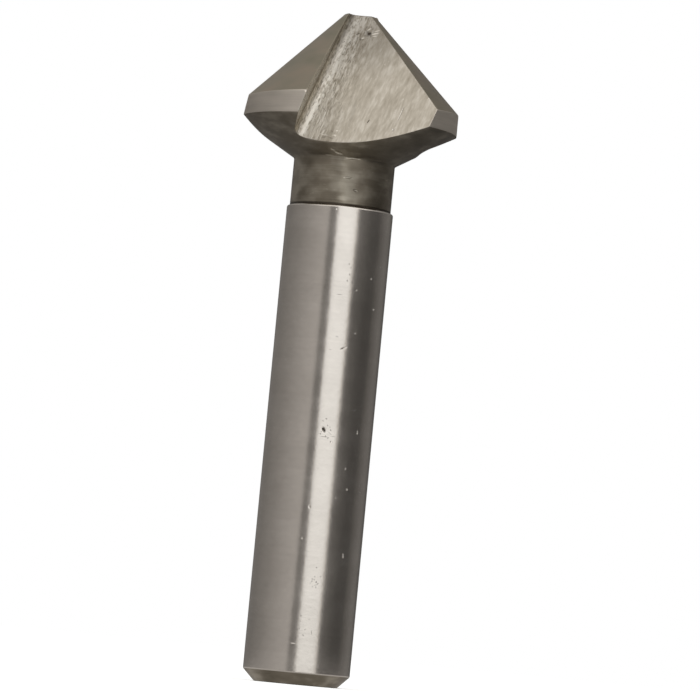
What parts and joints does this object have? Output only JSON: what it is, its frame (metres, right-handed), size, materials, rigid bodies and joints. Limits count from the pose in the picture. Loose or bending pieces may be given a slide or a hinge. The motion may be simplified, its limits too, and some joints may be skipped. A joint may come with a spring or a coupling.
{
  "type": "countersink bit",
  "caption": "Countersink bit: a fluted conical cutting head on a short neck and a plain parallel shank, for bevelling the mouths of drilled holes.",
  "frame": {"origin": "centre of the flat face at the shank's end, on the tool's axis", "axes": "+Z along the tool's axis from the shank's end to the cutting tip, -Y out through one flute"},
  "size_m": [0.0201, 0.0196, 0.063],
  "materials": {
    "tool_steel": "ground steel, satin on the shank and cone, dull turned neck"
  },
  "bodies": {
    "root": {"countersink_bit": "tool_steel"}
  },
  "joints": []
}
